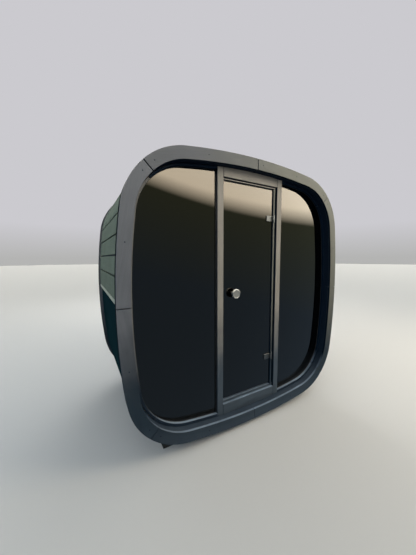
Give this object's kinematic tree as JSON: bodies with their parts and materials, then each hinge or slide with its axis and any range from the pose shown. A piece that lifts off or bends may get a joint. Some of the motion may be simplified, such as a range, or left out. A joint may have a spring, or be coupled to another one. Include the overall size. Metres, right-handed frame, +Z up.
{
  "type": "outdoor sauna",
  "caption": "Outdoor sauna: a rounded square timber tube with a proud ring at each end, a dark glazed front and a hinged glass door.",
  "frame": {"origin": "on the ground under the middle of the tube, at the centre of the footprint", "axes": "+X to the right along the glazed front, +Y from the front to the back, +Z up"},
  "size_m": [2.3, 1.5, 2.34],
  "materials": {
    "ring_timber": "grey stained softwood, fine grain, satin",
    "wall_boards": "green-grey stained softwood boards, weathered matt",
    "lower_panel": "timber wall faced with dark green woven membrane",
    "frame_timber": "grey stained softwood, planed, satin",
    "tinted_glass": "bronze tinted toughened glass, mirror-like",
    "hinge_steel": "satin stainless steel",
    "knob_steel": "bright stainless steel",
    "bearer_timber": "black treated timber",
    "deck_timber": "plain planed softwood"
  },
  "bodies": {
    "cabin": {"front_ring_top_left": "ring_timber", "front_ring_left_top": "ring_timber", "front_ring_left_bottom": "ring_timber", "front_ring_bottom_left": "ring_timber", "front_ring_bottom_right": "ring_timber", "front_ring_right_bottom": "ring_timber", "front_ring_right_top": "ring_timber", "front_ring_top_right": "ring_timber", "back_ring_top_left": "ring_timber", "back_ring_bottom_left": "ring_timber", "back_ring_bottom_right": "ring_timber", "back_ring_top_right": "ring_timber", "roof": "wall_boards", "wall_left_upper": "wall_boards", "wall_right_upper": "wall_boards", "corner_top_left": "wall_boards", "corner_top_right": "wall_boards", "back_wall": "wall_boards", "wall_left_lower": "lower_panel", "wall_right_lower": "lower_panel", "corner_bottom_left": "lower_panel", "corner_bottom_right": "lower_panel", "base": "lower_panel", "post_left": "frame_timber", "post_right": "frame_timber", "header": "frame_timber", "sill": "frame_timber", "threshold": "frame_timber", "door_head_lining": "frame_timber", "door_stop_left": "frame_timber", "door_jamb_right": "frame_timber", "window_frame_left": "frame_timber", "window_frame_right": "frame_timber", "window_glass_left": "tinted_glass", "window_glass_right": "tinted_glass", "hinge_leaf_upper": "hinge_steel", "hinge_leaf_lower": "hinge_steel", "bearer_front": "bearer_timber", "bearer_middle": "bearer_timber", "bearer_back": "bearer_timber", "floor_deck": "deck_timber"},
    "door": {"door_glass": "tinted_glass", "door_knob": "knob_steel", "hinge_clamp_upper": "hinge_steel", "hinge_clamp_lower": "hinge_steel"}
  },
  "joints": [
    {"name": "door_hinge", "type": "hinge", "parent": "cabin", "child": "door", "pos_m": [0.262, -0.674, 1.19], "axis": [0, 0, 1], "range_deg": [0, 100]}
  ]
}
